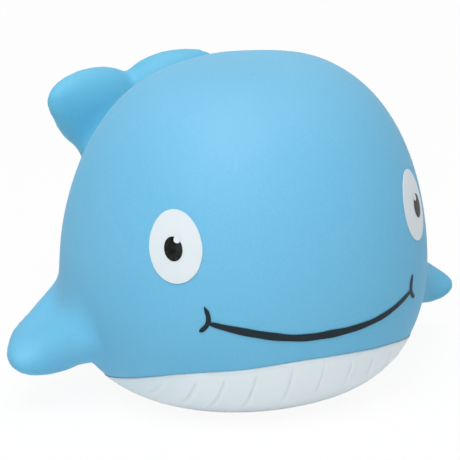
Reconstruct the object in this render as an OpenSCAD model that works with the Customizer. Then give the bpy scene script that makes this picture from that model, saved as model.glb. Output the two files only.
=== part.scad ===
// A chubby whale for the bath: one soft moulded skin, painted belly, eyes and smile,
// and a squeaker that is pressed into the flat base.
// Millimetres, +Z up. The face looks towards -Y. The origin is on the floor, on the squeaker's axis.

/* [Body] */
// Width of the body at its widest level
body_width = 82; // [76:1:90]
// Reach of the face in front of the squeaker's axis
face_reach = 41.5; // [38:0.5:46]
// Reach of the rump behind the squeaker's axis
rump_reach = 47; // [43:0.5:51]
// Height of the crown above the widest level
crown_rise = 46; // [42:0.5:52]
// Depth of the belly below the widest level, before the base is cut flat
belly_drop = 29.5; // [27:0.5:33]
// Depth of belly that the flat base takes away
base_cut = 0.9; // [0.7:0.1:1.5]
// Thickness of the moulded skin
skin_wall = 2.2; // [1.6:0.1:3]

/* [Belly] */
// Height of the edge of the white belly at the chin
belly_edge = 17; // [14:0.5:20]
// Thickness of the white coat
coat = 0.3; // [0.2:0.05:0.5]
// Pleats on each side of the middle one
side_pleats = 5; // [3:1:5]
// Distance from the middle pleat to the next
pleat_pitch = 7.7; // [6.5:0.1:8]
// Width of the furrow between two pleats
pleat_width = 1; // [0.8:0.1:1.6]
// Depth of the furrow in the white coat
pleat_depth = 0.15; // [0.1:0.05:0.2]
// Plain band between the edge of the belly and the pleats
plain_band = 1.8; // [1.5:0.1:4]
// Height over the floor at which the furrows run out
pleat_end = 5.5; // [3:0.5:8]

/* [Flippers] */
// Length of a flipper from its middle section to its tip
flipper_length = 26.2; // [23:0.2:29]
// Width of a flipper from front to back
flipper_chord = 22.2; // [18:0.2:23]
// Thickness of a flipper
flipper_thickness = 12.4; // [9:0.2:13]
// Distance of a flipper's middle section behind the squeaker's axis
flipper_back = 12.6; // [11:0.2:14]
// Distance of a flipper's middle section below the widest level
flipper_drop = 12; // [10:0.2:13]
// Depth of a flipper's middle section inside the widest level
flipper_sink = 8.5; // [7:0.5:10]
// Height of the left flipper over the right one
left_flipper_rise = 1.2; // [0:0.1:1.4]
// Length of the shoulder that fills the corner in front of a flipper
shoulder_length = 32; // [28:0.5:33]
// Width of the shoulder
shoulder_width = 13; // [10:0.5:14]
// Thickness of the shoulder
shoulder_thickness = 12.4; // [9:0.2:13]
// Distance of the shoulder's middle in front of the squeaker's axis
shoulder_ahead = 2.5; // [1:0.5:4]
// Distance of the shoulder's middle below the widest level
shoulder_drop = 10.9; // [9:0.1:12]
// Depth of the shoulder's middle inside the widest level
shoulder_sink = 3.5; // [3:0.5:6]

/* [Tail] */
// Distance of the flukes behind the squeaker's axis
tail_back = 55.6; // [53:0.2:58]
// Height of the flukes' middle above the widest level
tail_rise = 24.4; // [21:0.2:26]
// Length of a fluke from its middle section to its tip
fluke_length = 13.8; // [12:0.2:16]
// Height of a fluke
fluke_height = 19.5; // [17:0.5:23]
// Thickness of a fluke
fluke_thickness = 10.8; // [9:0.2:13]
// Distance of a fluke's middle section from the middle of the tail
fluke_spread = 9.8; // [8:0.2:11]
// Width of the tail where it leaves the rump
stem_width = 31; // [28:1:34]
// Thickness of the tail where it leaves the rump
stem_thickness = 31; // [28:1:34]

/* [Eyes] */
// Distance of an eye from the middle of the face, along the skin
eye_place = 32.7; // [30:0.1:35]
// Height of an eye's middle above the widest level
eye_rise = 14.6; // [11:0.2:18]
// Width of the white of an eye
eye_width = 12.3; // [10:0.1:13]
// Height of the white of an eye
eye_height = 15.5; // [13:0.1:18]
// Width of a pupil
pupil_width = 4.3; // [3:0.1:5]
// Height of a pupil
pupil_height = 5.3; // [4:0.1:6]
// Diameter of the catchlight
catchlight = 1.5; // [1:0.1:2]
// Thickness of one coat of paint on the face
paint = 0.15; // [0.1:0.01:0.2]

/* [Smile] */
// Distance of a corner of the smile from the middle of the face, along the skin
smile_reach = 25.3; // [22:0.2:28]
// Depth of the smile's middle below the widest level
smile_drop = 6.2; // [5:0.1:8]
// Height of the smile's corners over its middle
smile_lift = 4.6; // [3:0.1:6]
// Width of the brush line at the middle of the smile
brush_width = 1.6; // [1.2:0.1:2.2]
// Length of the short stroke that crosses a corner
cheek_stroke = 5.4; // [4:0.1:7]

/* [Squeaker] */
// Diameter of the squeaker's flange
flange_diameter = 20; // [19:0.5:22]
// Thickness of the flange
flange_thickness = 1.4; // [1.2:0.1:1.8]
// Diameter of the squeaker's barrel
barrel_diameter = 16; // [15:0.5:17]
// Height of the barrel over the flange
barrel_height = 11; // [10:0.5:14]
// Thickness of the barrel's wall
barrel_wall = 1.2; // [1:0.1:1.5]
// Diameter of the air hole in the base
air_hole = 2.4; // [2:0.1:3]
// Depth of the flange's underside above the floor
flange_lift = 0.8; // [0.6:0.1:1.2]
// Height of the collar that grips the barrel, over the flange
collar_height = 5; // [4:0.5:6]
// Thickness of the collar's wall
collar_wall = 4; // [3.5:0.1:5]
// Clearance between pieces that are pushed together
fit_gap = 0.05; // [0.03:0.01:0.08]

/* [Reed] */
// Diameter of the plug that holds the reed
plug_diameter = 6.6; // [6:0.1:7]
// Height of the plug
plug_height = 8.6; // [8:0.1:9.5]
// Length of the reed
reed_length = 7.6; // [7:0.1:7.8]
// Width of the reed
reed_width = 2.6; // [2:0.1:3]
// Thickness of the reed
reed_thickness = 0.15; // [0.1:0.01:0.2]
// Length of the reed that lies between the plug's halves
reed_grip = 2.4; // [2:0.1:3]
// Width of the air channel behind the reed
channel_width = 1.8; // [1.4:0.1:2.2]
// Depth of the hollow that the reed swings into
reed_swing = 0.6; // [0.5:0.05:0.7]
// Thickness of the plug's foot
plug_foot = 0.6; // [0.5:0.1:0.8]

/* [Hidden] */

// Overrun of every cut past the face that it opens
overrun = 1;

// Roundness of the body: 2 is a circle, more is fuller
crown_fullness = 3.1;
belly_fullness = 3.9;
face_fullness = 0.95;
// How far the rump narrows behind, and how far it slopes forward at the crown
rump_narrow_share = 0.36;
rump_slope_share = 0.5;
// Fall of the belly's edge for each unit of length towards the rump
belly_fall_share = 0.27;
// Each pleat is a little closer to the one before
pleat_closing_share = 0.048;
// The middle pleat lies this much to the whale's left of its nose
pleat_shift = pleat_pitch / 8;
full_turn = 360;
// Flippers and flukes are eggs, slimmer at the tip by a share. Less bluntness gives a rounder paddle.
flipper_egg_share = 0.23;
flipper_bluntness = 0.82;
fluke_egg_share = 0.25;
fluke_bluntness = 1;

// Angles round the egg at which a flipper, a fluke and a shoulder are cut inside the body
flipper_root = 125;
fluke_root = 150;
shoulder_root = 170;

// Attitude of a flipper: its front edge is low, its tip droops and points a little forward
flipper_turn = [21, 9.7, -29.5];
// Attitude of a shoulder: it falls and runs back as it goes out along the flipper's front edge
shoulder_turn = [0, 18, 31];
// Attitude of a fluke: its tip rises and points a little forward
fluke_turn = [0, -24.5, -12];
// The soft tail leans to one side
tail_lean = 5;
// Lean of an eye's top away from the nose
eye_lean = 9;

// Counts of facets
body_columns = 60;
lower_rows = 8;
upper_rows = 13;
cavity_columns = 40;
limb_columns = 20;
limb_rows = 9;
patch_columns = 32;
patch_rings = 3;
stroke_steps = 26;
cheek_steps = 8;
round_steps = 96;

widest_height = belly_drop - base_cut;
skin_base = coat;

// Paint lies a hair over the skin, so that neither cuts the other's facets
paint_gap = 0.06;
layer_gap = 0.03;

function side(v) = v < 0 ? -1 : 1;
function rounded(v, fullness) = side(v) * pow(abs(v), fullness);

// A point of the body. turn is 0 at the nose and grows towards +X, level runs from -1 under the
// belly to 1 at the crown, and grow is the distance outside the moulded skin.
function body_point(turn, level, grow) =
    let (
        upper = level > 0,
        front = cos(turn) > 0,
        share = pow(max(0, 1 - level * level), 1 / (upper ? crown_fullness : belly_fullness)),
        across = front ? rounded(sin(turn), face_fullness)
                       : sin(turn) * (1 - rump_narrow_share * pow(cos(turn), 2)),
        along = front ? -(face_reach + grow) * rounded(cos(turn), face_fullness)
                      : (rump_reach + grow) * (1 - rump_slope_share * max(0, level)) * -cos(turn)
    )
    [
        (body_width / 2 + grow) * across * share,
        along * share,
        widest_height + level * (grow + (upper ? crown_rise : belly_drop))
    ];

// A point of the face, by its distance from the middle along the skin and its height
// over the widest level
function face_point(place, grow) =
    body_point(
        place.x / (body_width / 2) * 180 / PI,
        place.y / (place.y > 0 ? crown_rise : belly_drop),
        grow
    );

// A closed solid through rings of points, with a point at each end. Rings run anticlockwise
// as seen from the high end.
module loft(rings, low, high) {
    count = len(rings[0]);
    last = len(rings) - 1;
    points = concat([for (ring = rings) each ring], [low, high]);
    polyhedron(points, [
        for (i = [0 : last - 1], j = [0 : count - 1])
            let (a = i * count + j, b = i * count + (j + 1) % count)
                each [[a, a + count, b], [b, a + count, b + count]],
        for (j = [0 : count - 1])
            let (k = (j + 1) % count)
                each [[len(points) - 2, j, k], [len(points) - 1, last * count + k, last * count + j]]
    ]);
}

// Angle at which a grown body reaches the height of its flat base
function base_angle(grow, base) = asin((base - widest_height) / (belly_drop + grow));

function body_ring(angle, grow, columns) =
    [for (j = [0 : columns - 1]) body_point(full_turn * j / columns, sin(angle), grow)];

// The whole body with a flat base
module body_form(grow, base, columns) {
    start = base_angle(grow, base);
    loft(
        [
            for (i = [0 : lower_rows]) body_ring(start * (1 - i / lower_rows), grow, columns),
            for (i = [1 : upper_rows - 1]) body_ring(90 * i / upper_rows, grow, columns)
        ],
        [0, 0, base],
        body_point(0, 1, grow)
    );
}

// The body up to its widest level
module belly_form(grow, base) {
    start = base_angle(grow, base);
    loft(
        [for (i = [0 : lower_rows]) body_ring(start * (1 - i / lower_rows), grow, body_columns)],
        [0, 0, base],
        [0, 0, widest_height]
    );
}

// An egg along +X from its cut root, inside the body, to its tip
module egg_limb(length, chord, thickness, root_angle, egg_share, bluntness) {
    loft(
        [
            for (i = [0 : limb_rows - 1])
                let (
                    angle = root_angle * (1 - i / limb_rows),
                    share = pow(sin(angle), bluntness) * (1 - egg_share * cos(angle))
                )
                [
                    for (j = [0 : limb_columns - 1])
                        let (t = full_turn * j / limb_columns)
                            [length * cos(angle), chord / 2 * share * cos(t), thickness / 2 * share * sin(t)]
                ]
        ],
        [length * cos(root_angle), 0, 0],
        [length, 0, 0]
    );
}

module flipper() {
    translate([body_width / 2 - flipper_sink, flipper_back, widest_height - flipper_drop])
        rotate(flipper_turn)
            egg_limb(flipper_length, flipper_chord, flipper_thickness, flipper_root, flipper_egg_share,
                flipper_bluntness);
}

module shoulder() {
    translate([body_width / 2 - shoulder_sink, -shoulder_ahead, widest_height - shoulder_drop])
        rotate(shoulder_turn)
            egg_limb(shoulder_length / 2, shoulder_width, shoulder_thickness, shoulder_root, 0, 1);
}

module fluke() {
    translate([fluke_spread, 0, 0])
        rotate(fluke_turn)
            egg_limb(fluke_length, fluke_thickness, fluke_height, fluke_root, fluke_egg_share,
                fluke_bluntness);
}

// The tail's stem curves from inside the rump up into the flukes
module tail_stem() {
    start = [rump_reach - stem_thickness / 2, widest_height];
    bend = [tail_back - fluke_thickness / 2, widest_height + fluke_thickness / 4];
    end = [tail_back + overrun / 2, widest_height + tail_rise - overrun];
    function place(t) = pow(1 - t, 2) * start + 2 * t * (1 - t) * bend + t * t * end;
    function heading(t) = (1 - t) * (bend - start) + t * (end - bend);
    loft(
        [
            for (i = [0 : limb_rows])
                let (
                    t = i / limb_rows,
                    p = place(t),
                    d = heading(t) / norm(heading(t)),
                    w = (stem_width * (1 - t) + 2 * (fluke_spread + fluke_thickness / 2) * t) / 2,
                    h = (stem_thickness * (1 - t) + fluke_thickness * t) / 2
                )
                [
                    for (j = [0 : limb_columns - 1])
                        let (a = full_turn * j / limb_columns)
                            [w * cos(a), p.x + h * sin(a) * d.y, p.y - h * sin(a) * d.x]
                ]
        ],
        [0, start.x, start.y],
        [0, end.x, end.y]
    );
}

module tail() {
    tail_stem();
    translate([0, tail_back, widest_height + tail_rise]) rotate([0, -tail_lean, 0]) {
        fluke();
        mirror([1, 0, 0]) fluke();
    }
}

flange_base = flange_lift;
flange_top = flange_base + flange_thickness;
collar_top = flange_top + collar_height;
barrel_top = flange_top + barrel_height;
collar_radius = barrel_diameter / 2 + collar_wall;

module seat_bores() {
    translate([0, 0, -overrun])
        cylinder(r = flange_diameter / 2 + fit_gap, h = overrun + flange_top + fit_gap, $fn = round_steps);
    cylinder(r = barrel_diameter / 2 + fit_gap, h = collar_top + overrun, $fn = round_steps);
}

// The skin is cast in one piece with its flippers, tail and the collar that grips the squeaker
module body_skin() {
    color([0.5, 0.78, 0.92])
    difference() {
        union() {
            body_form(0, skin_base, body_columns);
            translate([0, 0, left_flipper_rise]) flipper();
            shoulder();
            mirror([1, 0, 0]) {
                flipper();
                shoulder();
            }
            tail();
        }
        difference() {
            body_form(-skin_wall, skin_base + skin_wall, cavity_columns);
            translate([0, 0, -overrun])
                cylinder(r = collar_radius, h = overrun + collar_top, $fn = round_steps);
        }
        seat_bores();
    }
}

// Everything below the belly's edge, which falls towards the rump
module below_edge(drop) {
    reach = 2 * rump_reach;
    edge = [for (y = [-reach, reach]) [y, belly_edge - drop - belly_fall_share * (y + face_reach)]];
    rotate([90, 0, 90])
        translate([0, 0, -body_width])
            linear_extrude(2 * body_width)
                polygon(concat(edge, [[reach, -reach], [-reach, -reach]]));
}

function pleat_place(i) =
    i * pleat_pitch * (1 - pleat_closing_share * abs(i)) + pleat_shift * (1 - pow(i / side_pleats, 2));

// One thin plate for each furrow of the chin, down to where the furrows run out
module pleat_plates() {
    for (i = [-side_pleats : side_pleats])
        translate([pleat_place(i) - pleat_width / 2, -face_reach - coat - overrun, pleat_end])
            cube([pleat_width, face_reach + coat + overrun, widest_height]);
}

module belly_coat() {
    color([0.9, 0.94, 0.96])
    difference() {
        intersection() {
            belly_form(coat, 0);
            below_edge(0);
        }
        belly_form(paint_gap, skin_base);
        difference() {
            intersection() {
                below_edge(plain_band);
                pleat_plates();
            }
            belly_form(coat - pleat_depth, coat);
        }
        translate([0, 0, -overrun])
            cylinder(r = flange_diameter / 2 + coat, h = overrun + flange_top, $fn = round_steps);
    }
}

// A rounded patch of paint on the face. slim narrows its top.
module patch(middle, width, height, lean, slim, low) {
    function spot(share, t) =
        let (
            x = share * width / 2 * cos(t) * (1 - slim * sin(t)),
            y = share * height / 2 * sin(t)
        )
        [middle.x + x * cos(lean) + y * sin(lean), middle.y + y * cos(lean) - x * sin(lean)];
    function ring(share, grow) =
        [for (j = [0 : patch_columns - 1]) face_point(spot(share, full_turn * j / patch_columns), grow)];
    loft(
        [
            for (i = [1 : patch_rings]) ring(i / patch_rings, low),
            for (i = [patch_rings : -1 : 1]) ring(i / patch_rings, low + paint)
        ],
        face_point(middle, low),
        face_point(middle, low + paint)
    );
}

eye_middle = [eye_place, eye_rise];
pupil_middle = eye_middle + [pupil_width / 8, -pupil_height / 12];
catchlight_middle = pupil_middle + [-pupil_width / 5, pupil_height / 3];
eye_slim_share = 0.06;

module eye_white() {
    color([0.92, 0.95, 0.96])
    patch(eye_middle, eye_width, eye_height, eye_lean, eye_slim_share, paint_gap);
}

module pupil() {
    color([0.13, 0.14, 0.15])
    patch(pupil_middle, pupil_width, pupil_height, eye_lean, 0, paint_gap + paint + layer_gap);
}

module catchlight_dot() {
    color([0.95, 0.97, 0.98])
    patch(catchlight_middle, catchlight, catchlight, 0, 0, paint_gap + 2 * (paint + layer_gap));
}

// One brush stroke on the face through a list of places, as wide as each width says
module stroke(places, widths) {
    last = len(places) - 1;
    loft(
        [
            for (i = [0 : last])
                let (
                    d = places[min(i + 1, last)] - places[max(i - 1, 0)],
                    n = [-d.y, d.x] / norm(d) * widths[i] / 2
                )
                [
                    face_point(places[i] - n, paint_gap),
                    face_point(places[i] + n, paint_gap),
                    face_point(places[i] + n, paint_gap + paint),
                    face_point(places[i] - n, paint_gap + paint)
                ]
        ],
        face_point(places[0], paint_gap + paint / 2),
        face_point(places[last], paint_gap + paint / 2)
    );
}

brush_tip_share = 0.55;

// The short stroke bows towards the nose where it crosses the corner of the smile
module cheek_line() {
    shares = [for (i = [0 : cheek_steps]) 2 * i / cheek_steps - 1];
    stroke(
        [
            for (s = shares)
                [
                    smile_reach + brush_width / 2 * s * s,
                    smile_lift - smile_drop + brush_width / 3 + cheek_stroke / 2 * s
                ]
        ],
        [for (s = shares) brush_width * (1 - (1 - brush_tip_share) * abs(s)) * 2 / 3]
    );
}

module smile_line() {
    shares = [for (i = [0 : stroke_steps]) 2 * i / stroke_steps - 1];
    color([0.15, 0.17, 0.18])
    union() {
        stroke(
            [for (s = shares) [smile_reach * s, smile_lift * s * s - smile_drop]],
            [for (s = shares) brush_width * (1 - (1 - brush_tip_share) * pow(abs(s), 3))]
        );
        cheek_line();
        mirror([1, 0, 0]) cheek_line();
    }
}

cap_thickness = barrel_wall;
cap_step = cap_thickness / 2;
bead = barrel_wall / 2;
socket_radius = plug_diameter / 2 + fit_gap;
socket_height = plug_height * 2 / 3;

// A moulded cup with a flange, an air hole and a socket for the reed's plug
module squeaker_housing() {
    inside = barrel_diameter / 2 - barrel_wall;
    color([0.93, 0.93, 0.9])
    difference() {
        rotate_extrude($fn = round_steps)
            polygon([
                [0, flange_base],
                [flange_diameter / 2, flange_base],
                [flange_diameter / 2, flange_top],
                [barrel_diameter / 2, flange_top],
                [barrel_diameter / 2, collar_top + fit_gap],
                [barrel_diameter / 2 + bead, collar_top + fit_gap + bead],
                [barrel_diameter / 2, collar_top + fit_gap + 2 * bead],
                [barrel_diameter / 2, barrel_top],
                [inside + barrel_wall / 2, barrel_top],
                [inside + barrel_wall / 2, barrel_top - cap_step],
                [inside, barrel_top - cap_step],
                [inside, flange_top],
                [socket_radius + barrel_wall, flange_top],
                [socket_radius + barrel_wall, flange_top + socket_height],
                [socket_radius, flange_top + socket_height],
                [socket_radius, flange_top],
                [0, flange_top]
            ]);
        translate([0, 0, flange_base - overrun])
            cylinder(d = air_hole, h = flange_thickness + 2 * overrun, $fn = round_steps);
    }
}

cap_holes = 6;

// The cap lies in the barrel's rim and lets the air through
module squeaker_cap() {
    hole_radius = barrel_wall * 2 / 3;
    color([0.93, 0.93, 0.9])
    difference() {
        translate([0, 0, barrel_top - cap_step])
            cylinder(d = barrel_diameter - barrel_wall - 2 * fit_gap, h = cap_thickness, $fn = round_steps);
        for (i = [0 : cap_holes - 1])
            rotate(i * full_turn / cap_holes)
                translate([barrel_diameter / 4, 0, barrel_top - cap_step - overrun])
                    cylinder(r = hole_radius, h = cap_thickness + 2 * overrun, $fn = round_steps / 2);
    }
}

// The plug's flat side is the plane y = 0, and the reed hangs from its top end over the air channel
reed_gap = reed_swing / 6;
grip_base = flange_top + plug_height - reed_grip;

module half_plug(height, front) {
    intersection() {
        cylinder(d = plug_diameter, h = height, $fn = round_steps);
        translate([-plug_diameter, front ? -plug_diameter : 0, 0])
            cube([2 * plug_diameter, plug_diameter, height]);
    }
}

// The rear half of the plug on a round foot, with a hollow for the reed's swing. The air channel
// runs from the hollow down through the foot.
module reed_plug() {
    color([0.86, 0.2, 0.18])
    difference() {
        translate([0, 0, flange_top]) {
            half_plug(plug_height, false);
            cylinder(d = plug_diameter, h = plug_foot, $fn = round_steps);
        }
        translate([-reed_width / 2 - reed_gap, -overrun, flange_top + plug_foot])
            cube([reed_width + 2 * reed_gap, overrun + reed_swing, plug_height - reed_grip - plug_foot]);
        translate([-channel_width / 2, reed_swing / 2, flange_top - overrun])
            cube([channel_width, air_hole / 2 - reed_swing / 2, plug_height - reed_grip + overrun]);
    }
}

// The front half is short, and clamps the reed's top end
module reed_clamp() {
    color([0.86, 0.2, 0.18])
    difference() {
        translate([0, 0, grip_base]) half_plug(reed_grip, true);
        translate([-reed_width / 2 - reed_gap, -reed_thickness - 2 * reed_gap, grip_base - overrun])
            cube([
                reed_width + 2 * reed_gap,
                reed_thickness + 2 * reed_gap + overrun,
                reed_grip + 2 * overrun
            ]);
    }
}

// A thin springy tongue
module reed() {
    color([0.85, 0.68, 0.3])
    translate([-reed_width / 2, -reed_gap - reed_thickness, flange_top + plug_height - reed_length])
        cube([reed_width, reed_thickness, reed_length]);
}

body_skin();
belly_coat();
eye_white();  // eye_white_left
mirror([1, 0, 0]) eye_white();  // eye_white_right
pupil();  // pupil_left
mirror([1, 0, 0]) pupil();  // pupil_right
catchlight_dot();  // catchlight_left
mirror([1, 0, 0]) catchlight_dot();  // catchlight_right
smile_line();
squeaker_housing();
squeaker_cap();
reed_plug();
reed_clamp();
reed();
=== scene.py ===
# A chubby whale for the bath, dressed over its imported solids. Metres, +Z up. The face looks towards -Y,
# and the whale's own left side is +X.
from math import asin, atan2, copysign, cos, pi, radians, sin, sqrt

import bmesh
import bpy
from mathutils import Matrix, Vector


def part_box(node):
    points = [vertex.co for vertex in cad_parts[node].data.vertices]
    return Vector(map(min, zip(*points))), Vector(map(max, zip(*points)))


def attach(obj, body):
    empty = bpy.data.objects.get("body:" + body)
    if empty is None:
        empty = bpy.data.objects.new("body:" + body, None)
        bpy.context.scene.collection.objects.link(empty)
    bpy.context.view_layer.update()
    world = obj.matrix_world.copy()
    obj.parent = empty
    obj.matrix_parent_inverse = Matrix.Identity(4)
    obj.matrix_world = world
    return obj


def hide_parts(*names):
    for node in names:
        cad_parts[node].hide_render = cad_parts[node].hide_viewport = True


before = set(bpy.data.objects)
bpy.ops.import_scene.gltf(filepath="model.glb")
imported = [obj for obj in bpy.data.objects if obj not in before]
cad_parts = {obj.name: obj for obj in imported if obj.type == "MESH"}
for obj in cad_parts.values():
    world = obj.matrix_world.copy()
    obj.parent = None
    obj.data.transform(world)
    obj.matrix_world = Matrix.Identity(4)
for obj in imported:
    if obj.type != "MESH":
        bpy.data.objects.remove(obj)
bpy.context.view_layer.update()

# The skin
# The real one is a single hollow casting of soft latex, coloured right through: body, flippers, tail
# and flukes run into each other in smooth fillets. A collar inside its flat base grips the squeaker.
mm = 0.001
body_width = 82 * mm
face_reach = 41.5 * mm
rump_reach = 47 * mm
crown_rise = 46 * mm
belly_drop = 29.5 * mm
widest_height = 28.6 * mm
skin_wall = 2.2 * mm
skin_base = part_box("body_skin")[0].z
crown_fullness, belly_fullness, face_fullness = 3.1, 3.9, 0.95
rump_narrow_share, rump_slope_share = 0.36, 0.5
hair = 0.01 * mm


def start(name, add, **place):
    """Adds a primitive by itself, named, and opens it for editing."""
    bpy.ops.object.select_all(action="DESELECT")
    add(**place)
    piece = bpy.context.object
    piece.name = piece.data.name = name
    bpy.ops.object.transform_apply(location=True, rotation=True, scale=True)
    bpy.ops.object.mode_set(mode="EDIT")
    bpy.ops.mesh.select_mode(type="VERT")
    return piece


def pick(test):
    """Selects the points of the edited mesh whose place and normal pass the test, and no others."""
    mesh = bmesh.from_edit_mesh(bpy.context.object.data)
    for point in mesh.verts:
        point.select_set(False)
    for point in mesh.verts:
        if test(point.co, point.normal):
            point.select_set(True)
    mesh.select_flush_mode()
    bmesh.update_edit_mesh(bpy.context.object.data)


def extrude(step):
    bpy.ops.mesh.extrude_region_move(TRANSFORM_OT_translate={"value": step})


def resize(shares, middle):
    bpy.ops.transform.resize(value=shares, center_override=middle)


def finish_edit(piece):
    """Closes the edit with clean, outward faces."""
    bpy.ops.mesh.select_all(action="SELECT")
    bpy.ops.mesh.remove_doubles(threshold=hair / 10)
    bpy.ops.mesh.normals_make_consistent(inside=False)
    bpy.ops.object.mode_set(mode="OBJECT")
    bpy.ops.object.shade_smooth()
    return piece


def add_modifier(piece, kind, **settings):
    """Adds a modifier and applies it at once."""
    modifier = piece.modifiers.new(kind.title(), kind)
    for key, value in settings.items():
        setattr(modifier, key, value)
    bpy.context.view_layer.objects.active = piece
    bpy.ops.object.modifier_apply(modifier=modifier.name)


def body_share(level):
    """Share of the widest plan at a level from -1, under the belly, to 1, at the crown."""
    return (1 - level * level) ** (1 / (crown_fullness if level > 0 else belly_fullness))


def body_form(name, columns, upper_rows, lower_rows, grow, base):
    """The body without its limbs, ring by ring from its widest level to the crown and to the base."""
    radius = body_width / 2
    middle = (0, 0, widest_height)
    piece = start(name, bpy.ops.mesh.primitive_circle_add, vertices=columns, radius=radius,
                  location=middle)
    for step in range(columns // 2 + 1):
        turn = 2 * pi * step / columns
        ahead, aside = cos(turn), abs(sin(turn))
        pick(lambda co, normal: abs(co.y + radius * ahead) < hair
             and abs(abs(co.x) - radius * aside) < hair)
        wide = (1 + grow / radius) * (max(aside, hair) ** (face_fullness - 1) if ahead > 0
                                      else 1 - rump_narrow_share * ahead * ahead)
        reach = face_reach * max(ahead, hair) ** (face_fullness - 1) if ahead > 0 else rump_reach
        long = (reach + grow) / radius
        resize((min(wide, 2) if aside > hair else 1, long if abs(ahead) > hair else 1, 1), middle)
    for rise, rows, last in ((crown_rise, upper_rows, pi / 2), (-belly_drop, lower_rows, None)):
        way = 1 if rise > 0 else -1
        last = last or asin((widest_height - base) / (belly_drop + grow))
        height = widest_height
        share, slope = 1, 1
        pick(lambda co, normal: abs(co.z - height) < hair)
        for row in range(1, rows + 1):
            level = way * sin(last * row / rows)
            next_height = widest_height + abs(level) * (rise + way * grow)
            if level > 1 - 1e-6:
                extrude((0, 0, next_height - height))
                bpy.ops.mesh.merge(type="CENTER")
                break
            extrude((0, 0, next_height - height))
            next_share = body_share(level)
            resize((next_share / share,) * 2 + (1,), (0, 0, next_height))
            next_slope = 1 - rump_slope_share * max(0, level)
            pick(lambda co, normal: abs(co.z - next_height) < hair and co.y > 0)
            resize((1, next_slope / slope, 1), (0, 0, next_height))
            pick(lambda co, normal: abs(co.z - next_height) < hair)
            height, share, slope = next_height, next_share, next_slope
    bpy.ops.mesh.edge_face_add()
    return finish_edit(piece)


def egg_limb(name, length, chord, thickness, root_angle, egg_share, bluntness, place, turn):
    """A paddle along its own +X from a root inside the body to a rounded tip, then turned and placed."""
    rows, columns = 18, 40
    share_at = lambda angle: sin(angle) ** bluntness * (1 - egg_share * cos(angle))
    share = share_at(root_angle)
    x = length * cos(root_angle)
    piece = start(name, bpy.ops.mesh.primitive_circle_add, vertices=columns, radius=0.5 * share,
                  location=(x, 0, 0), rotation=(0, pi / 2, 0))
    bpy.ops.mesh.select_all(action="SELECT")
    resize((1, chord, thickness), (x, 0, 0))
    bpy.ops.mesh.edge_face_add()
    for row in range(1, rows + 1):
        angle = root_angle * (1 - row / rows)
        next_x = length * cos(angle)
        extrude((next_x - x, 0, 0))
        if row == rows:
            bpy.ops.mesh.merge(type="CENTER")
            break
        resize((1,) + (share_at(angle) / share,) * 2, (next_x, 0, 0))
        x, share = next_x, share_at(angle)
    finish_edit(piece)
    piece.data.transform(Matrix.Translation(place) @ turn)
    return piece


def turned(x, y, z):
    """A turn about X, then Y, then Z, in degrees."""
    return (Matrix.Rotation(radians(z), 4, "Z") @ Matrix.Rotation(radians(y), 4, "Y")
            @ Matrix.Rotation(radians(x), 4, "X"))


def mirrored(piece, name):
    """A copy for the other side, with its own mesh and its faces turned back outwards."""
    bpy.ops.object.select_all(action="DESELECT")
    piece.select_set(True)
    bpy.context.view_layer.objects.active = piece
    bpy.ops.object.duplicate()
    copy = bpy.context.object
    copy.name = copy.data.name = name
    copy.data.transform(Matrix.Scale(-1, 4, (1, 0, 0)))
    copy.data.flip_normals()
    return copy


torso = body_form("torso", columns=96, upper_rows=34, lower_rows=20, grow=0, base=skin_base)
flipper_root, flipper_turn = Vector((32.5 * mm, 12.6 * mm, 16.6 * mm)), turned(21, 9.7, -29.5)
flipper = egg_limb("flipper", length=26.2 * mm, chord=22.4 * mm, thickness=12.6 * mm,
                   root_angle=radians(125), egg_share=0.23, bluntness=0.82,
                   place=flipper_root, turn=flipper_turn)
fluke_place = Vector((0, 55.6 * mm, 53 * mm))
tail_lean = Matrix.Translation(fluke_place) @ turned(0, -5, 0)
fluke = egg_limb("fluke", length=13.7 * mm, chord=11 * mm, thickness=19.6 * mm,
                 root_angle=radians(150), egg_share=0.25, bluntness=1,
                 place=(9.9 * mm, 0, 0), turn=turned(0, -24.5, -12))
other_flipper = mirrored(flipper, "other_flipper")
other_fluke = mirrored(fluke, "other_fluke")
# The left fluke is a little shorter than the right one.
fluke.data.transform(Matrix.Scale(0.97, 4, (1, 0, 0)))
# A web under each fluke leads its lower edge straight down into the stem.
web = start("web", bpy.ops.mesh.primitive_uv_sphere_add, segments=24, ring_count=12,
            scale=(3.5 * mm, 4.5 * mm, 7 * mm))
finish_edit(web)
web.data.transform(Matrix.Translation((16.1 * mm, -0.8 * mm, -3.1 * mm)) @ turned(0, 30.3, 0))
other_web = mirrored(web, "other_web")
for lobe in (fluke, other_fluke, web, other_web):
    lobe.data.transform(tail_lean)
# The casting isn't quite even: the left flipper stands a little higher and further out than the right
# one and bows down before its tip, and the right one is fuller below.


def flipper_bump(co, middle, reach):
    """1 at a distance out along either flipper, and falls smoothly to 0 at a reach on both sides."""
    out = flipper_turn.to_3x3().col[0].dot(Vector((abs(co.x), co.y, co.z)) - flipper_root)
    return max(0, 1 - ((out - middle) / reach) ** 2) ** 2


for point in flipper.data.vertices:
    point.co.z -= 0.8 * mm * flipper_bump(point.co, middle=21.5 * mm, reach=4.8 * mm)
for point in other_flipper.data.vertices:
    fuller = 1.15 * mm * flipper_bump(point.co, middle=20 * mm, reach=8.5 * mm)
    point.co.z += fuller * min(0, point.normal.z)
flipper.data.transform(Matrix.Translation((0.3 * mm, 0, 1.2 * mm)))
# A shoulder fills the corner in front of each flipper, so that the flank runs out into it.
shoulder = start("shoulder", bpy.ops.mesh.primitive_uv_sphere_add, segments=40, ring_count=20,
                 scale=(16 * mm, 6.5 * mm, 6.2 * mm))
finish_edit(shoulder)
shoulder.data.transform(Matrix.Translation((37.5 * mm, -2.5 * mm, 17.7 * mm)) @ turned(0, 18, 31))
other_shoulder = mirrored(shoulder, "other_shoulder")

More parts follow.
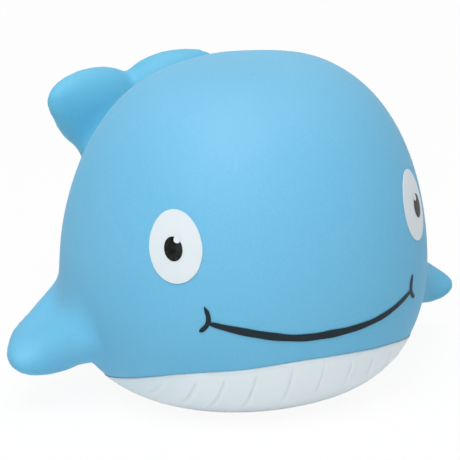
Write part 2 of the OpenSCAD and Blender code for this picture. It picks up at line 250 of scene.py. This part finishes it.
# The tail's stem curves from inside the rump up into the flukes.
stem_rows = 20
stem_start = Vector((0, 31 * mm, 28.6 * mm))
stem_bend = Vector((0, 51.5 * mm, 31.3 * mm))
stem_end = Vector((0, 56.1 * mm, 51.5 * mm))
stem_widths = ((0, 31 * mm), (0.6, 28.8 * mm), (1, 33 * mm))
stem_thickness, fluke_thickness = 31 * mm, 11.2 * mm


def stem_place(t):
    return (1 - t) ** 2 * stem_start + 2 * t * (1 - t) * stem_bend + t * t * stem_end


def stem_width(t):
    (near, low), (far, high) = stem_widths[:2] if t < stem_widths[1][0] else stem_widths[1:]
    return low + (high - low) * (t - near) / (far - near)


def stem_thick(t):
    return stem_thickness + (fluke_thickness - stem_thickness) * t


def stem_angle(t):
    heading = (1 - t) * (stem_bend - stem_start) + t * (stem_end - stem_bend)
    return heading.yz.angle_signed(Vector((1, 0)))


stem = start("stem", bpy.ops.mesh.primitive_circle_add, vertices=40, radius=0.5, location=stem_start,
             rotation=(pi / 2 + stem_angle(0), 0, 0))
bpy.ops.mesh.select_all(action="SELECT")
resize((stem_width(0), stem_thick(0), stem_thick(0)), stem_start)
bpy.ops.mesh.edge_face_add()
for row in range(1, stem_rows + 1):
    before, now = (row - 1) / stem_rows, row / stem_rows
    extrude(stem_place(now) - stem_place(before))
    thick = stem_thick(now) / stem_thick(before)
    resize((stem_width(now) / stem_width(before), thick, thick), stem_place(now))
    bpy.ops.transform.rotate(value=stem_angle(before) - stem_angle(now), orient_axis="X",
                             center_override=stem_place(now))
finish_edit(stem)

# The casting is one skin: the pieces are fused, and their roots are smoothed into fillets.
bpy.ops.object.select_all(action="DESELECT")
for form in (flipper, other_flipper, shoulder, other_shoulder, fluke, other_fluke, web, other_web,
             stem, torso):
    form.select_set(True)
bpy.context.view_layer.objects.active = torso
bpy.ops.object.join()
skin = torso
skin.name = skin.data.name = "whale_skin"
add_modifier(skin, "REMESH", mode="VOXEL", voxel_size=0.9 * mm, adaptivity=0, use_smooth_shade=True)
bpy.ops.object.select_all(action="DESELECT")
skin.select_set(True)
bpy.ops.object.mode_set(mode="EDIT")
bpy.ops.mesh.select_mode(type="VERT")
bpy.ops.mesh.select_all(action="SELECT")
bpy.ops.mesh.vertices_smooth(factor=0.5, repeat=3)
# Where each root is smoothed, how far round it and in how many passes. The roots are those of the
# flippers, the shoulders and the tail, and then the flippers' fronts and the webs under the flukes.
root_fillets = [
    (Vector((37 * mm, 14 * mm, 24 * mm)), 15 * mm, 16),
    (Vector((-37 * mm, 14 * mm, 23 * mm)), 15 * mm, 16),
    (Vector((41 * mm, 0, 24 * mm)), 10 * mm, 20),
    (Vector((-41 * mm, 0, 24 * mm)), 10 * mm, 20),
    (Vector((47 * mm, -1 * mm, 16 * mm)), 8 * mm, 12),
    (Vector((-47 * mm, -1 * mm, 15 * mm)), 8 * mm, 12),
    (Vector((0, 38 * mm, 33 * mm)), 27 * mm, 24),
    (Vector((51 * mm, 0, 14.5 * mm)), 12 * mm, 3),
    (Vector((-50 * mm, 0, 13 * mm)), 12 * mm, 3),
    (Vector((18.5 * mm, 55 * mm, 48 * mm)), 7 * mm, 3),
    (Vector((-18.5 * mm, 55 * mm, 46 * mm)), 7 * mm, 3),
]
for middle, reach, passes in root_fillets:
    for ring_share in (1, 0.85, 0.7):
        pick(lambda co, normal: (co - middle).length < reach * ring_share)
        bpy.ops.mesh.vertices_smooth(factor=0.5, repeat=passes)

# The base is cut flat and opened for the squeaker. A recess takes its flange, and the wall turns inwards
# as the collar before it runs back up inside the body.
flange_radius, seat_radius, collar_radius = 10.05 * mm, 8.05 * mm, 12 * mm
recess_top, collar_top, seat_steps = 2.25 * mm, 7.2 * mm, 96
cut_height = skin_base + 0.15 * mm
bpy.ops.mesh.select_all(action="SELECT")
bpy.ops.mesh.bisect(plane_co=(0, 0, cut_height), plane_no=(0, 0, 1), clear_inner=True,
                    threshold=hair / 100)
pick(lambda co, normal: abs(co.z - cut_height) < hair / 100)
bpy.ops.transform.translate(value=(0, 0, skin_base - cut_height))
bpy.ops.mesh.primitive_circle_add(vertices=seat_steps, radius=flange_radius, location=(0, 0, skin_base))
pick(lambda co, normal: abs(co.z - skin_base) < hair / 100)
bpy.ops.mesh.bridge_edge_loops()
bpy.ops.mesh.select_all(action="SELECT")
bpy.ops.mesh.duplicate()
bpy.ops.transform.shrink_fatten(value=-skin_wall)
bpy.ops.mesh.flip_normals()
inner_floor = skin_base + skin_wall
at_circle = lambda co, radius, height: abs(co.xy.length - radius) < hair and abs(co.z - height) < hair
pick(lambda co, normal: at_circle(co, flange_radius, inner_floor))
resize((collar_radius / flange_radius,) * 2 + (1,), (0, 0, inner_floor))
pick(lambda co, normal: at_circle(co, flange_radius, skin_base))
seat_profile = [(flange_radius, recess_top), (seat_radius, recess_top), (seat_radius, collar_top),
                (collar_radius, collar_top), (collar_radius, inner_floor)]
radius, height = flange_radius, skin_base
for next_radius, next_height in seat_profile:
    extrude((0, 0, next_height - height))
    resize((next_radius / radius,) * 2 + (1,), (0, 0, next_height))
    radius, height = next_radius, next_height

# Under the white coat the skin lies lower, so that the coat's furrows don't reach it.
lower_from, lower_by, lower_radius = 1.2 * mm, 0.6 * mm, 13 * mm
belly_edge, belly_fall_share = 17 * mm, 0.27
# The spray mask is cut by hand, so that the edge rises here and there by tenths of a millimetre.
edge_marks = [(-46, 0.4), (-34, 0.55), (-29, 0.92), (-25, 0.78), (-21, 0.5), (-17, 0.25), (-12, 0.34),
              (-5, 0.46), (1, 0.3), (7, 0.2), (14, 0.05), (19, 0.22), (26, 0.2), (34, 0.42), (46, 0.3)]
edge_marks = [(x * mm, rise * mm) for x, rise in edge_marks]


def edge_rise(x):
    for (near, low), (far, high) in zip(edge_marks, edge_marks[1:]):
        if near <= x < far:
            return low + (high - low) * (x - near) / (far - near)
    return 0


def over_edge(co, drop=0):
    """Height of a place over the edge of the belly, or over a line that lies lower by a drop."""
    return co.z - belly_edge - edge_rise(co.x) + drop + belly_fall_share * (co.y + face_reach)


pick(lambda co, normal: over_edge(co, lower_from) < 0 and co.z > skin_base + hair
     and co.xy.length > lower_radius and normal.z < 0)
bpy.ops.transform.shrink_fatten(value=-lower_by)
finish_edit(skin)
bpy.ops.object.shade_smooth_by_angle(angle=radians(50))


class Signal:
    """A number, colour or vector on its way through a finish, with plain arithmetic on it."""

    def __init__(self, finish, socket):
        self.finish, self.socket = finish, socket

    def _sum(self, operation, *values):
        return self.finish.node("ShaderNodeMath", {"operation": operation}, *values)

    def __add__(self, other):
        return self._sum("ADD", self, other)

    def __radd__(self, other):
        return self._sum("ADD", other, self)

    def __sub__(self, other):
        return self._sum("SUBTRACT", self, other)

    def __rsub__(self, other):
        return self._sum("SUBTRACT", other, self)

    def __mul__(self, other):
        return self._sum("MULTIPLY", self, other)

    def __rmul__(self, other):
        return self._sum("MULTIPLY", other, self)

    def __truediv__(self, other):
        return self._sum("DIVIDE", self, other)


class Finish:
    """A material of one real surface, built from nodes on the object's own coordinates."""

    def __init__(self, name, **constants):
        self.material = bpy.data.materials.new(name)
        self.material.use_nodes = True
        self.tree = self.material.node_tree
        self.shader = self.tree.nodes["Principled BSDF"]
        for socket, value in constants.items():
            self.shader.inputs[socket.replace("_", " ")].default_value = value
        self.place = self.node("ShaderNodeTexCoord", {}, output="Object")

    def node(self, kind, settings, *values, output=0, **named):
        """Adds a node, with its settings before its sockets' values or links. Returns one output."""
        added = self.tree.nodes.new(kind)
        for key, value in settings.items():
            if key == "stops":
                ramp = added.color_ramp
                ramp.elements[0].position, ramp.elements[0].color = value[0]
                ramp.elements[1].position, ramp.elements[1].color = value[-1]
                for position, colour in value[1:-1]:
                    ramp.elements.new(position).color = colour
            else:
                setattr(added, key, value)
        spaced = [(key.replace("_", " "), value) for key, value in named.items()]
        for socket, value in [*enumerate(values), *spaced]:
            if isinstance(value, Signal):
                self.tree.links.new(value.socket, added.inputs[socket])
            elif value is not None:
                added.inputs[socket].default_value = value
        return Signal(self, added.outputs[output])

    def noise(self, size, detail=2.0, roughness=0.5, seed=0):
        """Cloudy values round 0.5, with features of about the size given."""
        return self.node("ShaderNodeTexNoise", {"noise_dimensions": "4D"}, Vector=self.place,
                         Scale=1 / size, Detail=detail, Roughness=roughness, W=seed)

    def mix(self, share, one, other):
        """One colour turning into another as the share goes from 0 to 1."""
        mixed = self.tree.nodes.new("ShaderNodeMix")
        mixed.data_type = "RGBA"
        for socket, value in ((0, share), (6, one), (7, other)):
            if isinstance(value, Signal):
                self.tree.links.new(value.socket, mixed.inputs[socket])
            else:
                mixed.inputs[socket].default_value = value
        return Signal(self, mixed.outputs[2])

    def between(self, value, low, high):
        """0 below the low value, 1 above the high one, and a smooth rise between them."""
        return self.node("ShaderNodeMapRange", {"interpolation_type": "SMOOTHSTEP"},
                         value, low, high, 0.0, 1.0)

    def set(self, **signals):
        for socket, signal in signals.items():
            self.tree.links.new(signal.socket, self.shader.inputs[socket.replace("_", " ")])

    def bump(self, height, strength, distance, under=None):
        """A relief of the height given, in metres, over the one under it."""
        return self.node("ShaderNodeBump", {}, Strength=strength, Distance=distance, Height=height,
                         Normal=under)

    def wear_on(self, piece):
        piece.data.materials.clear()
        piece.data.materials.append(self.material)


def colour(red, green, blue):
    """A colour as it looks on a screen, from 0 to 255, in the linear values that a shader takes."""
    return tuple((c / 255 / 12.92 if c <= 10 else ((c / 255 + 0.055) / 1.055) ** 2.4)
                 for c in (red, green, blue)) + (1,)


# Soft latex, satin from the mould, with a slightly cloudy pigment, a fine grain and a few pinholes.
# Painted sheen makes the blue paler towards the crown and the fluke tops; painted light and shade shift
# it in the flippers.
latex = Finish("blue_latex", Subsurface_Weight=0.12, Subsurface_Scale=1.5 * mm, Specular_IOR_Level=0.43)
latex.shader.inputs["Subsurface Radius"].default_value = (0.6, 0.9, 1.0)
cloud = latex.noise(14 * mm, 3, seed=1)
grain = latex.noise(0.5 * mm, 3, 0.6, seed=2)
swell = latex.noise(7 * mm, 2, seed=3)
height = latex.node("ShaderNodeSeparateXYZ", {}, latex.place, output="Z")
behind = latex.node("ShaderNodeSeparateXYZ", {}, latex.place, output="Y")
# Painted sheen: the blue turns paler and redder up the flanks, towards the crown and up the flukes.
flank_sheen_blue = latex.mix(latex.between(height, 18 * mm, 44 * mm),
                       colour(106, 189, 227), colour(113, 192, 230))
crown_sheen_blue = latex.mix(latex.between(height, 48 * mm, 74 * mm), flank_sheen_blue, colour(117, 188, 223))
fluke_sheen_blue = latex.mix(latex.between(height, 54 * mm, 70 * mm),
                       colour(102, 193, 227), colour(111, 190, 222))
tail_sheen_blue = latex.mix(latex.between(behind, 28 * mm, 48 * mm), crown_sheen_blue, fluke_sheen_blue)
outward = latex.node("ShaderNodeMath", {"operation": "ABSOLUTE"},
                     latex.node("ShaderNodeSeparateXYZ", {}, latex.place, output="X"))
# Painted light and shade on the flippers: lighter low down, darker on their tops, which face the lamps.
fin_light_and_shade_blue = latex.mix(latex.between(height, 6 * mm, 19 * mm),
                     colour(107, 195, 232), colour(103, 182, 217))
painted_light_blue = latex.mix(latex.between(outward, 42 * mm, 52 * mm), tail_sheen_blue, fin_light_and_shade_blue)
skin_blue = latex.mix(latex.between(cloud, 0.3, 0.7) * 0.12, painted_light_blue, colour(140, 204, 236))
# Each pinhole is a dot of painted shade, darker blue, with no pit in the skin.
pinhole_shade_dots = [((-2.9, -13.8, 73.8), 0.3, 0.5), ((-17.1, -30.9, 58), 0.2, 0.25), ((21, 30, 60), 0.25, 0.35)]
grain_and_pinhole_shade = latex.mix(latex.between(grain, 0.4, 0.62) * 0.3, skin_blue, colour(98, 183, 222))
for middle, reach, depth in pinhole_shade_dots:
    far = latex.node("ShaderNodeVectorMath", {"operation": "DISTANCE"}, latex.place,
                     tuple(v * mm for v in middle), output="Value")
    grain_and_pinhole_shade = latex.mix((1 - latex.between(far, 0.3 * reach * mm, reach * mm)) * depth, grain_and_pinhole_shade,
                       colour(60, 105, 150))
latex.set(Base_Color=grain_and_pinhole_shade,
          Roughness=0.5 + 0.1 * grain + 0.06 * cloud,
          Normal=latex.bump(grain, 0.4, 0.04 * mm, latex.bump(swell, 0.25, 0.25 * mm)))
latex.wear_on(skin)
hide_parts("body_skin")
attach(skin, "whale")

# The belly
# White paint, sprayed through a mask over the lower body, feathered to nothing at its edge. Shallow
# furrows that are moulded in the casting part it into pleats from the chin back under the whale.
coat_lift, coat_thickness = 0.12 * mm, 0.1 * mm
furrow_width, furrow_depth, plain_band = 1.1 * mm, 0.3 * mm, 1.6 * mm
# Each furrow was drawn by hand: its place across the belly and the height at which it runs out.
furrows = [(-30, 6), (-24.9, 4.7), (-20.1, 3.5), (-14.1, 3.7), (-6.5, 5.2), (0.8, 6.6), (7.9, 7),
           (14.3, 7.6), (20.2, 6), (25.1, 5.4), (29.6, 6)]
pleats_end = -8 * mm
squeaker_gap_radius = 10.3 * mm
belly = body_form("whale_belly", columns=seat_steps, upper_rows=4, lower_rows=36, grow=coat_lift, base=0)
bpy.ops.object.mode_set(mode="EDIT")
pick(lambda co, normal: abs(co.z) < hair / 10)
bpy.ops.mesh.delete(type="ONLY_FACE")
bpy.ops.mesh.primitive_circle_add(vertices=seat_steps, radius=squeaker_gap_radius, location=(0, 0, 0))
pick(lambda co, normal: abs(co.z) < hair / 10)
bpy.ops.mesh.bridge_edge_loops()
for x, _ in edge_marks:
    bpy.ops.mesh.select_all(action="SELECT")
    bpy.ops.mesh.bisect(plane_co=(x, 0, 0), plane_no=(1, 0, 0), threshold=hair / 100)
for (near, low), (far, high) in zip(edge_marks, edge_marks[1:]):
    for drop in (0, 0.6 * mm):
        pick(lambda co, normal: near - hair < co.x < far + hair)
        bpy.ops.mesh.bisect(plane_co=(near, -face_reach, belly_edge + low - drop),
                            plane_no=((low - high) / (far - near), belly_fall_share, 1),
                            threshold=hair / 100)
pick(lambda co, normal: over_edge(co) > hair)
bpy.ops.mesh.delete(type="VERT")
for drop in (1.2 * mm, plain_band, plain_band + 1 * mm):
    bpy.ops.mesh.select_all(action="SELECT")
    bpy.ops.mesh.bisect(plane_co=(0, -face_reach, belly_edge - drop), plane_no=(0, belly_fall_share, 1),
                        threshold=hair / 100)

# Each furrow is painted darker as painted shade, and the lip right of it, on the whale's left side,
# lighter as a painted highlight.
bmesh.from_edit_mesh(belly.data).verts.layers.float.new("paint")
for x, end in furrows:
    middle, end = x * mm, end * mm
    for aside in (-1, -0.5, 0, 0.5, 1, 1.5):
        bpy.ops.mesh.select_all(action="SELECT")
        bpy.ops.mesh.bisect(plane_co=(middle + aside * furrow_width / 2, 0, 0), plane_no=(1, 0, 0),
                            threshold=hair / 100)
    for aside, drop, rise, share, furrow_shading in (
            (-0.5, 0, 0, 0.3, -0.4), (-0.5, 1 * mm, 1 * mm, 0.4, -1), (0, 0, 0, 0.3, 0),
            (0, 1 * mm, 1 * mm, 0.3, -0.2), (0.5, 0, 0, -0.1, 0.5), (0.5, 1 * mm, 1 * mm, -0.1, 0.5),
            (1, 0.7 * mm, 0.5 * mm, -0.3, 0.7)):
        pick(lambda co, normal: abs(co.x - middle - aside * furrow_width / 2) < 0.2 * furrow_width / 2
             and co.z > end + rise and over_edge(co, plain_band + drop) < 0.2 * mm and co.y < pleats_end)
        bpy.ops.transform.shrink_fatten(value=-share * furrow_depth * (0.5 if abs(x) > 27 else 1))
        mesh = bmesh.from_edit_mesh(belly.data)
        paint = mesh.verts.layers.float["paint"]
        for point in mesh.verts:
            if point.select:
                point[paint] = furrow_shading
        bmesh.update_edit_mesh(belly.data)
finish_edit(belly)
add_modifier(belly, "SOLIDIFY", thickness=coat_thickness, offset=-1, use_rim=True)

white_coat = Finish("white_coat", Specular_IOR_Level=0.4)
above = white_coat.node("ShaderNodeSeparateXYZ", {}, white_coat.place, output="Z")
back = white_coat.node("ShaderNodeSeparateXYZ", {}, white_coat.place, output="Y")
sideways = white_coat.node("ShaderNodeSeparateXYZ", {}, white_coat.place, output="X")
edge_share = lambda x: (x - edge_marks[0][0]) / (edge_marks[-1][0] - edge_marks[0][0])
rises = white_coat.node("ShaderNodeValToRGB", {"stops": [
    (edge_share(x), (rise / mm,) * 3 + (1,)) for x, rise in edge_marks]}, edge_share(sideways))
down = (belly_edge - belly_fall_share * face_reach) + mm * rises - above - belly_fall_share * back
mottle = white_coat.noise(6 * mm, 3, seed=5)
streak = white_coat.noise(1.2 * mm, 3, seed=6)
thin = 1 - white_coat.between(down + 1.6 * mm * (mottle - 0.5), 0.1 * mm, 1.3 * mm)
rim = 1 - white_coat.between(down + 0.15 * mm * (streak - 0.5), 0.06 * mm, 0.3 * mm)
# Painted shade: the white is darker towards the bottom of the belly.
bottom_shaded_white = white_coat.mix(white_coat.between(above, 2 * mm, 12 * mm),
                            colour(229, 240, 245), colour(236, 246, 250))
plain_white = white_coat.mix(white_coat.between(mottle, 0.35, 0.65) * 0.3, bottom_shaded_white,
                             colour(240, 247, 250))
# Painted bluish reflection of the skin: the white turns darker and bluer towards the belly's ends.
towards_ends = white_coat.node("ShaderNodeMath", {"operation": "ABSOLUTE"}, sideways)
end_shaded_white = white_coat.mix(white_coat.between(towards_ends, 24 * mm, 32 * mm), plain_white,
                           colour(226, 240, 245))
thin_white = white_coat.mix(thin * 0.35, end_shaded_white, colour(196, 222, 236))
# The "paint" layer holds painted shade below 0, in the furrows, and a painted highlight above 0, on their
# lips.
furrow_shading = white_coat.node("ShaderNodeAttribute", {"attribute_name": "paint"}, output="Fac")
shaded_white = white_coat.mix(white_coat.between(0 - furrow_shading, 0, 1.2), thin_white,
                              colour(220, 231, 236))
lit_white = white_coat.mix(white_coat.between(furrow_shading, 0, 1.2), shaded_white, colour(246, 250, 252))
white_coat.set(Base_Color=white_coat.mix(rim * 0.5, lit_white, colour(150, 158, 158)),
               Roughness=0.42 + 0.12 * streak,
               Normal=white_coat.bump(streak, 0.2, 0.03 * mm))
white_coat.wear_on(belly)
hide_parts("belly_coat")
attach(belly, "whale")

# The eyes
# Each is painted in three coats through masks: an egg of white that leans away from the nose, a glossy
# black pupil over it, and a dot of white that overlaps the pupil's upper edge.


def face_frame(across, rise):
    """Place on the skin and the axes of a flat patch there: aside, upwards and outwards."""
    turn, level = abs(across) / (body_width / 2), rise / (crown_rise if rise > 0 else belly_drop)
    share = body_share(level)
    near = Vector((copysign(body_width / 2 * sin(turn) ** face_fullness * share, across),
                   -face_reach * cos(turn) ** face_fullness * share, widest_height + rise))
    _, place, normal, _ = skin.closest_point_on_mesh(near)
    aside = Vector((0, 0, 1)).cross(normal).normalized()
    frame_here = Matrix((aside, normal.cross(aside), normal)).transposed().to_4x4()
    return Matrix.Translation(place + normal * 2 * mm) @ frame_here


def paint_patch(name, across, rise, wide, high, lean, slim, lift, thick):
    """An egg of paint that follows the skin. across is negative on the whale's right side."""
    patch = start(name, bpy.ops.mesh.primitive_circle_add, vertices=72, radius=0.5, fill_type="NGON")
    for _ in range(7):
        bpy.ops.mesh.inset(thickness=0.06)
    bpy.ops.mesh.poke()
    finish_edit(patch)
    add_modifier(patch, "SIMPLE_DEFORM", deform_method="TAPER", deform_axis="Y", factor=-slim)
    patch.data.transform(face_frame(across, rise) @ turned(0, 0, -lean if across > 0 else lean)
                         @ Matrix.Diagonal((wide, high, 1, 1)))
    add_modifier(patch, "SHRINKWRAP", target=skin, wrap_method="NEAREST_SURFACEPOINT",
                 wrap_mode="ABOVE_SURFACE", offset=lift)
    add_modifier(patch, "SOLIDIFY", thickness=thick, offset=-1, use_rim=True)
    bpy.ops.object.shade_smooth_by_angle(angle=radians(50))
    return patch


eye_paint = Finish("eye_white_paint", Specular_IOR_Level=0.5)
eye_mottle = eye_paint.noise(2.5 * mm, 3, seed=8)
eye_paint.set(Base_Color=eye_paint.mix(eye_mottle, colour(222, 234, 240), colour(231, 239, 243)),
              Roughness=0.3 + 0.12 * eye_mottle,
              Normal=eye_paint.bump(eye_mottle, 0.15, 0.05 * mm))
pupil_paint = Finish("pupil_paint", Specular_IOR_Level=0.08)
pupil_mottle = pupil_paint.noise(1.4 * mm, 2, seed=9)
pupil_paint.set(Base_Color=pupil_paint.mix(pupil_paint.between(pupil_mottle, 0.35, 0.7),
                                           colour(17, 20, 20), colour(46, 48, 48)),
                Roughness=0.3 + 0.1 * pupil_mottle,
                Normal=pupil_paint.bump(pupil_mottle, 0.2, 0.03 * mm))
# The masks didn't sit quite alike: the whale's left eye is a millimetre higher than its right one.
for side, white_place, white_rise, pupil_place, pupil_rise in (
        ("left", 31.8 * mm, 15.5 * mm, 33.2 * mm, 14.9 * mm),
        ("right", -32.9 * mm, 14.3 * mm, -33.2 * mm, 13.8 * mm)):
    way = 1 if side == "left" else -1
    for node, paint, slot, patch in (
            ("eye_white", eye_paint, "white_paint",
             dict(across=white_place, rise=white_rise, wide=12.6 * mm, high=16.3 * mm, lean=9,
                  slim=0.12, lift=0.2 * mm, thick=0.12 * mm)),
            ("pupil", pupil_paint, "black_paint",
             dict(across=pupil_place, rise=pupil_rise, wide=4.3 * mm, high=5.4 * mm, lean=14,
                  slim=0.02, lift=0.3 * mm, thick=0.08 * mm)),
            ("catchlight", eye_paint, "white_paint",
             dict(across=pupil_place - way * 0.8 * mm, rise=pupil_rise + 2 * mm, wide=1.6 * mm,
                  high=1.6 * mm, lean=0, slim=0, lift=0.38 * mm, thick=0.06 * mm))):
        piece = paint_patch(f"{node}_paint_{side}", **patch)
        paint.wear_on(piece)
        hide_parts(f"{node}_{side}")
        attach(piece, "whale")

# The smile
# One loaded stroke of black across the face and a short one over each corner, brushed by hand, so that
# the line swells, thins and wavers a little.
stroke_distance = 60 * mm


def brush_stroke(name, places, widths):
    """A stroke drawn in front of the face through places across and up, then laid back on the skin."""
    stroke = start(name, bpy.ops.mesh.primitive_grid_add, x_subdivisions=1, y_subdivisions=4, size=1)
    pick(lambda co, normal: co.x > 0)
    bpy.ops.mesh.delete(type="VERT")
    bpy.ops.mesh.select_all(action="SELECT")
    bpy.ops.transform.rotate(value=-pi / 2, orient_axis="X", center_override=(0, 0, 0))
    place, width, lean = Vector((-0.5, 0)), 1, 0
    last = len(places) - 1
    for step, (next_place, next_width) in enumerate(zip(places, widths)):
        way = places[min(step + 1, last)] - places[max(step - 1, 0)]
        next_lean = atan2(way.y, way.x)
        move = (next_place.x - place.x, -stroke_distance if step == 0 else 0, next_place.y - place.y)
        if step:
            extrude(move)
        else:
            bpy.ops.transform.translate(value=move)
        middle = (next_place.x, -stroke_distance, next_place.y)
        resize((next_width / width,) * 3, middle)
        bpy.ops.transform.rotate(value=next_lean - lean, orient_axis="Y", center_override=middle)
        place, width, lean = next_place, next_width, next_lean
    finish_edit(stroke)
    add_modifier(stroke, "SHRINKWRAP", target=skin, wrap_method="PROJECT", wrap_mode="ABOVE_SURFACE",
                 use_project_y=True, use_positive_direction=True, offset=0.2 * mm)
    add_modifier(stroke, "SOLIDIFY", thickness=0.12 * mm, offset=-1, use_rim=True)
    return stroke


smile_reach, smile_drop, smile_lift, brush_width = 24.4 * mm, 6.2 * mm, 4.6 * mm, 1.62 * mm
left_sag = 0.5 * mm
shares = [2 * i / 60 - 1 for i in range(61)]
waver = lambda s: 1 + 0.06 * sin(9 * s + 1) + 0.05 * sin(23 * s)
thinned = lambda s: 1 - 0.35 * abs(s) ** 6 if s < 0 else 1 - 0.5 * s ** 1.3
tip = lambda s: sqrt(max(0.03, 1 - abs(s) ** 40))
smile = brush_stroke(
    "smile_paint",
    [Vector((smile_reach * s, widest_height - smile_drop + smile_lift * s * s + 0.12 * mm * sin(7 * s)
             - left_sag * (1 - (1 - max(0, s)) ** 3))) for s in shares],
    [brush_width * thinned(s) * waver(s) * tip(s) for s in shares])
strokes = [smile]
for way in (-1, 1):
    shares = [i / 24 for i in range(25)]
    strokes.append(brush_stroke(
        "corner_paint",
        [Vector((way * (smile_reach - 0.1 * mm + (2.8 if s < 0.5 else 6) * mm * (s - 0.5) ** 2),
                 widest_height + 1.8 * mm - 5.5 * mm * s - (left_sag if way > 0 else 0)))
         for s in shares],
        [brush_width * (0.46 + 0.1 * s) * min(1, 0.3 + 4 * s) * sqrt(max(0.1, 1 - s ** 30))
         for s in shares]))
bpy.ops.object.select_all(action="DESELECT")
for stroke in strokes:
    stroke.select_set(True)
bpy.context.view_layer.objects.active = smile
bpy.ops.object.join()
bpy.ops.object.shade_smooth_by_angle(angle=radians(50))

brush_black = Finish("brush_black", Specular_IOR_Level=0.1)
bristle = brush_black.noise(0.5 * mm, 3, seed=11)
brush_black.set(Base_Color=brush_black.mix(bristle, colour(26, 37, 42), colour(44, 57, 64)),
                Roughness=0.28 + 0.2 * bristle,
                Normal=brush_black.bump(bristle, 0.25, 0.05 * mm))
brush_black.wear_on(smile)
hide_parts("smile_line")
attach(smile, "whale")

# The squeaker
# A bought insert, moulded in ivory polypropylene: a flanged cup with a cap snapped over its top end. Its
# faces are plain and slightly glossy, with the dull bloom of a mould that isn't polished.
ivory = Finish("ivory_plastic", Subsurface_Weight=0.1, Subsurface_Scale=1 * mm)
bloom = ivory.noise(1.5 * mm, 3, seed=13)
ivory.set(Base_Color=ivory.mix(bloom, colour(226, 222, 206), colour(236, 233, 220)),
          Roughness=0.34 + 0.15 * bloom,
          Normal=ivory.bump(bloom, 0.15, 0.05 * mm))
for node in ("squeaker_housing", "squeaker_cap"):
    ivory.wear_on(bpy.data.objects[node])

# The reed's plug and clamp
# Two small mouldings of red plastic, glossier than the cup. The plug stands in the cup's socket, and the
# clamp holds the reed's top end against it.
red = Finish("red_plastic")
red_bloom = red.noise(1 * mm, 3, seed=15)
red.set(Base_Color=red.mix(red_bloom, colour(178, 40, 36), colour(192, 50, 44)),
        Roughness=0.26 + 0.15 * red_bloom,
        Normal=red.bump(red_bloom, 0.12, 0.04 * mm))
for node in ("reed_plug", "reed_clamp"):
    red.wear_on(bpy.data.objects[node])

# The reed
# A strip cut from thin rolled brass that hangs from its top end, between plug and clamp. Rolling left
# fine lines along it, and its edges are bare.
brass = Finish("reed_brass", Metallic=1.0)
along = brass.node("ShaderNodeMapping", {}, brass.place, (0, 0, 0), (0, 0, 0), (30, 1, 1))
rolled = brass.node("ShaderNodeTexNoise", {}, Vector=along, Scale=1 / (4 * mm), Detail=3.0)
brass.set(Base_Color=brass.mix(rolled, colour(196, 158, 84), colour(216, 180, 106)),
          Roughness=0.22 + 0.2 * rolled,
          Normal=brass.bump(rolled, 0.1, 0.02 * mm))
brass.wear_on(bpy.data.objects["reed"])

# The studio
# A pale table that runs on past the picture, a large soft light high on the left, a weaker one overhead
# and an even white room.
bpy.ops.object.select_all(action="DESELECT")
bpy.ops.mesh.primitive_plane_add(size=6, location=(0, 0, -hair))
bpy.ops.object.transform_apply(location=True)
table = bpy.context.object
table.name = table.data.name = "studio_table"
table_top = Finish("studio_table", Base_Color=(0.93, 0.93, 0.93, 1), Roughness=0.9,
                   Specular_IOR_Level=0.1)
seen_white = table_top.node("ShaderNodeEmission", {}, (1, 1, 1, 1), 1.0)
seen_from = [table_top.node("ShaderNodeLightPath", {}, output=ray)
             for ray in ("Is Camera Ray", "Is Glossy Ray", "Is Transmission Ray")]
paled = table_top.node("ShaderNodeMixShader", {}, (seen_from[0] + seen_from[1] + seen_from[2]) * 0.93,
                       Signal(table_top, table_top.shader.outputs[0]), seen_white)
table_top.tree.links.new(paled.socket, table_top.tree.nodes["Material Output"].inputs["Surface"])
table_top.wear_on(table)

key = bpy.data.lights.new("key", "AREA")
key.shape, key.size, key.energy = "DISK", 1.2, 19
key_lamp = bpy.data.objects.new("key", key)
bpy.context.scene.collection.objects.link(key_lamp)
key_lamp.location = (-0.49, -0.72, 1.34)
key_lamp.rotation_euler = (Vector((0, 0, 0.03)) - key_lamp.location).to_track_quat("-Z", "Y").to_euler()

overhead = bpy.data.lights.new("overhead", "AREA")
overhead.shape, overhead.size, overhead.energy = "DISK", 1.3, 4.4
overhead_lamp = bpy.data.objects.new("overhead", overhead)
bpy.context.scene.collection.objects.link(overhead_lamp)
overhead_lamp.location = (0, 0.15, 1.3)

room = bpy.data.worlds.new("room")
bpy.context.scene.world = room
room.use_nodes = True
nodes, links = room.node_tree.nodes, room.node_tree.links
path = nodes.new("ShaderNodeLightPath")
straight, through = nodes.new("ShaderNodeMath"), nodes.new("ShaderNodeMath")
straight.operation = through.operation = "MAXIMUM"
links.new(path.outputs["Is Camera Ray"], straight.inputs[0])
links.new(path.outputs["Is Glossy Ray"], straight.inputs[1])
links.new(straight.outputs[0], through.inputs[0])
links.new(path.outputs["Is Transmission Ray"], through.inputs[1])
seen = nodes.new("ShaderNodeMix")
seen.inputs[2].default_value, seen.inputs[3].default_value = 0.19, 1.0
links.new(through.outputs[0], seen.inputs[0])
nodes["Background"].inputs["Color"].default_value = (1, 1, 1, 1)
links.new(seen.outputs[0], nodes["Background"].inputs["Strength"])

look_turn, look_down, camera_roll, camera_far = radians(-26.123), radians(16.949), radians(1), 0.7
camera = bpy.data.cameras.new("photo_camera")
camera.sensor_width, camera.lens = 36, 246.3
camera.shift_x, camera.shift_y = -0.0212, 0.0596
photo_camera = bpy.data.objects.new("photo_camera", camera)
bpy.context.scene.collection.objects.link(photo_camera)
aside = Vector((cos(look_turn), sin(look_turn), 0))
away = Vector((sin(look_turn) * cos(look_down), -cos(look_turn) * cos(look_down), sin(look_down)))
upward = away.cross(aside)
across = aside * cos(camera_roll) - upward * sin(camera_roll)
upright = aside * sin(camera_roll) + upward * cos(camera_roll)
photo_camera.matrix_world = (Matrix.Translation(Vector((0, 0, widest_height)) + away * camera_far)
                             @ Matrix((across, upright, away)).transposed().to_4x4())
bpy.context.scene.camera = photo_camera

bpy.context.scene.view_settings.view_transform = "Standard"

bpy.context.view_layer.update()
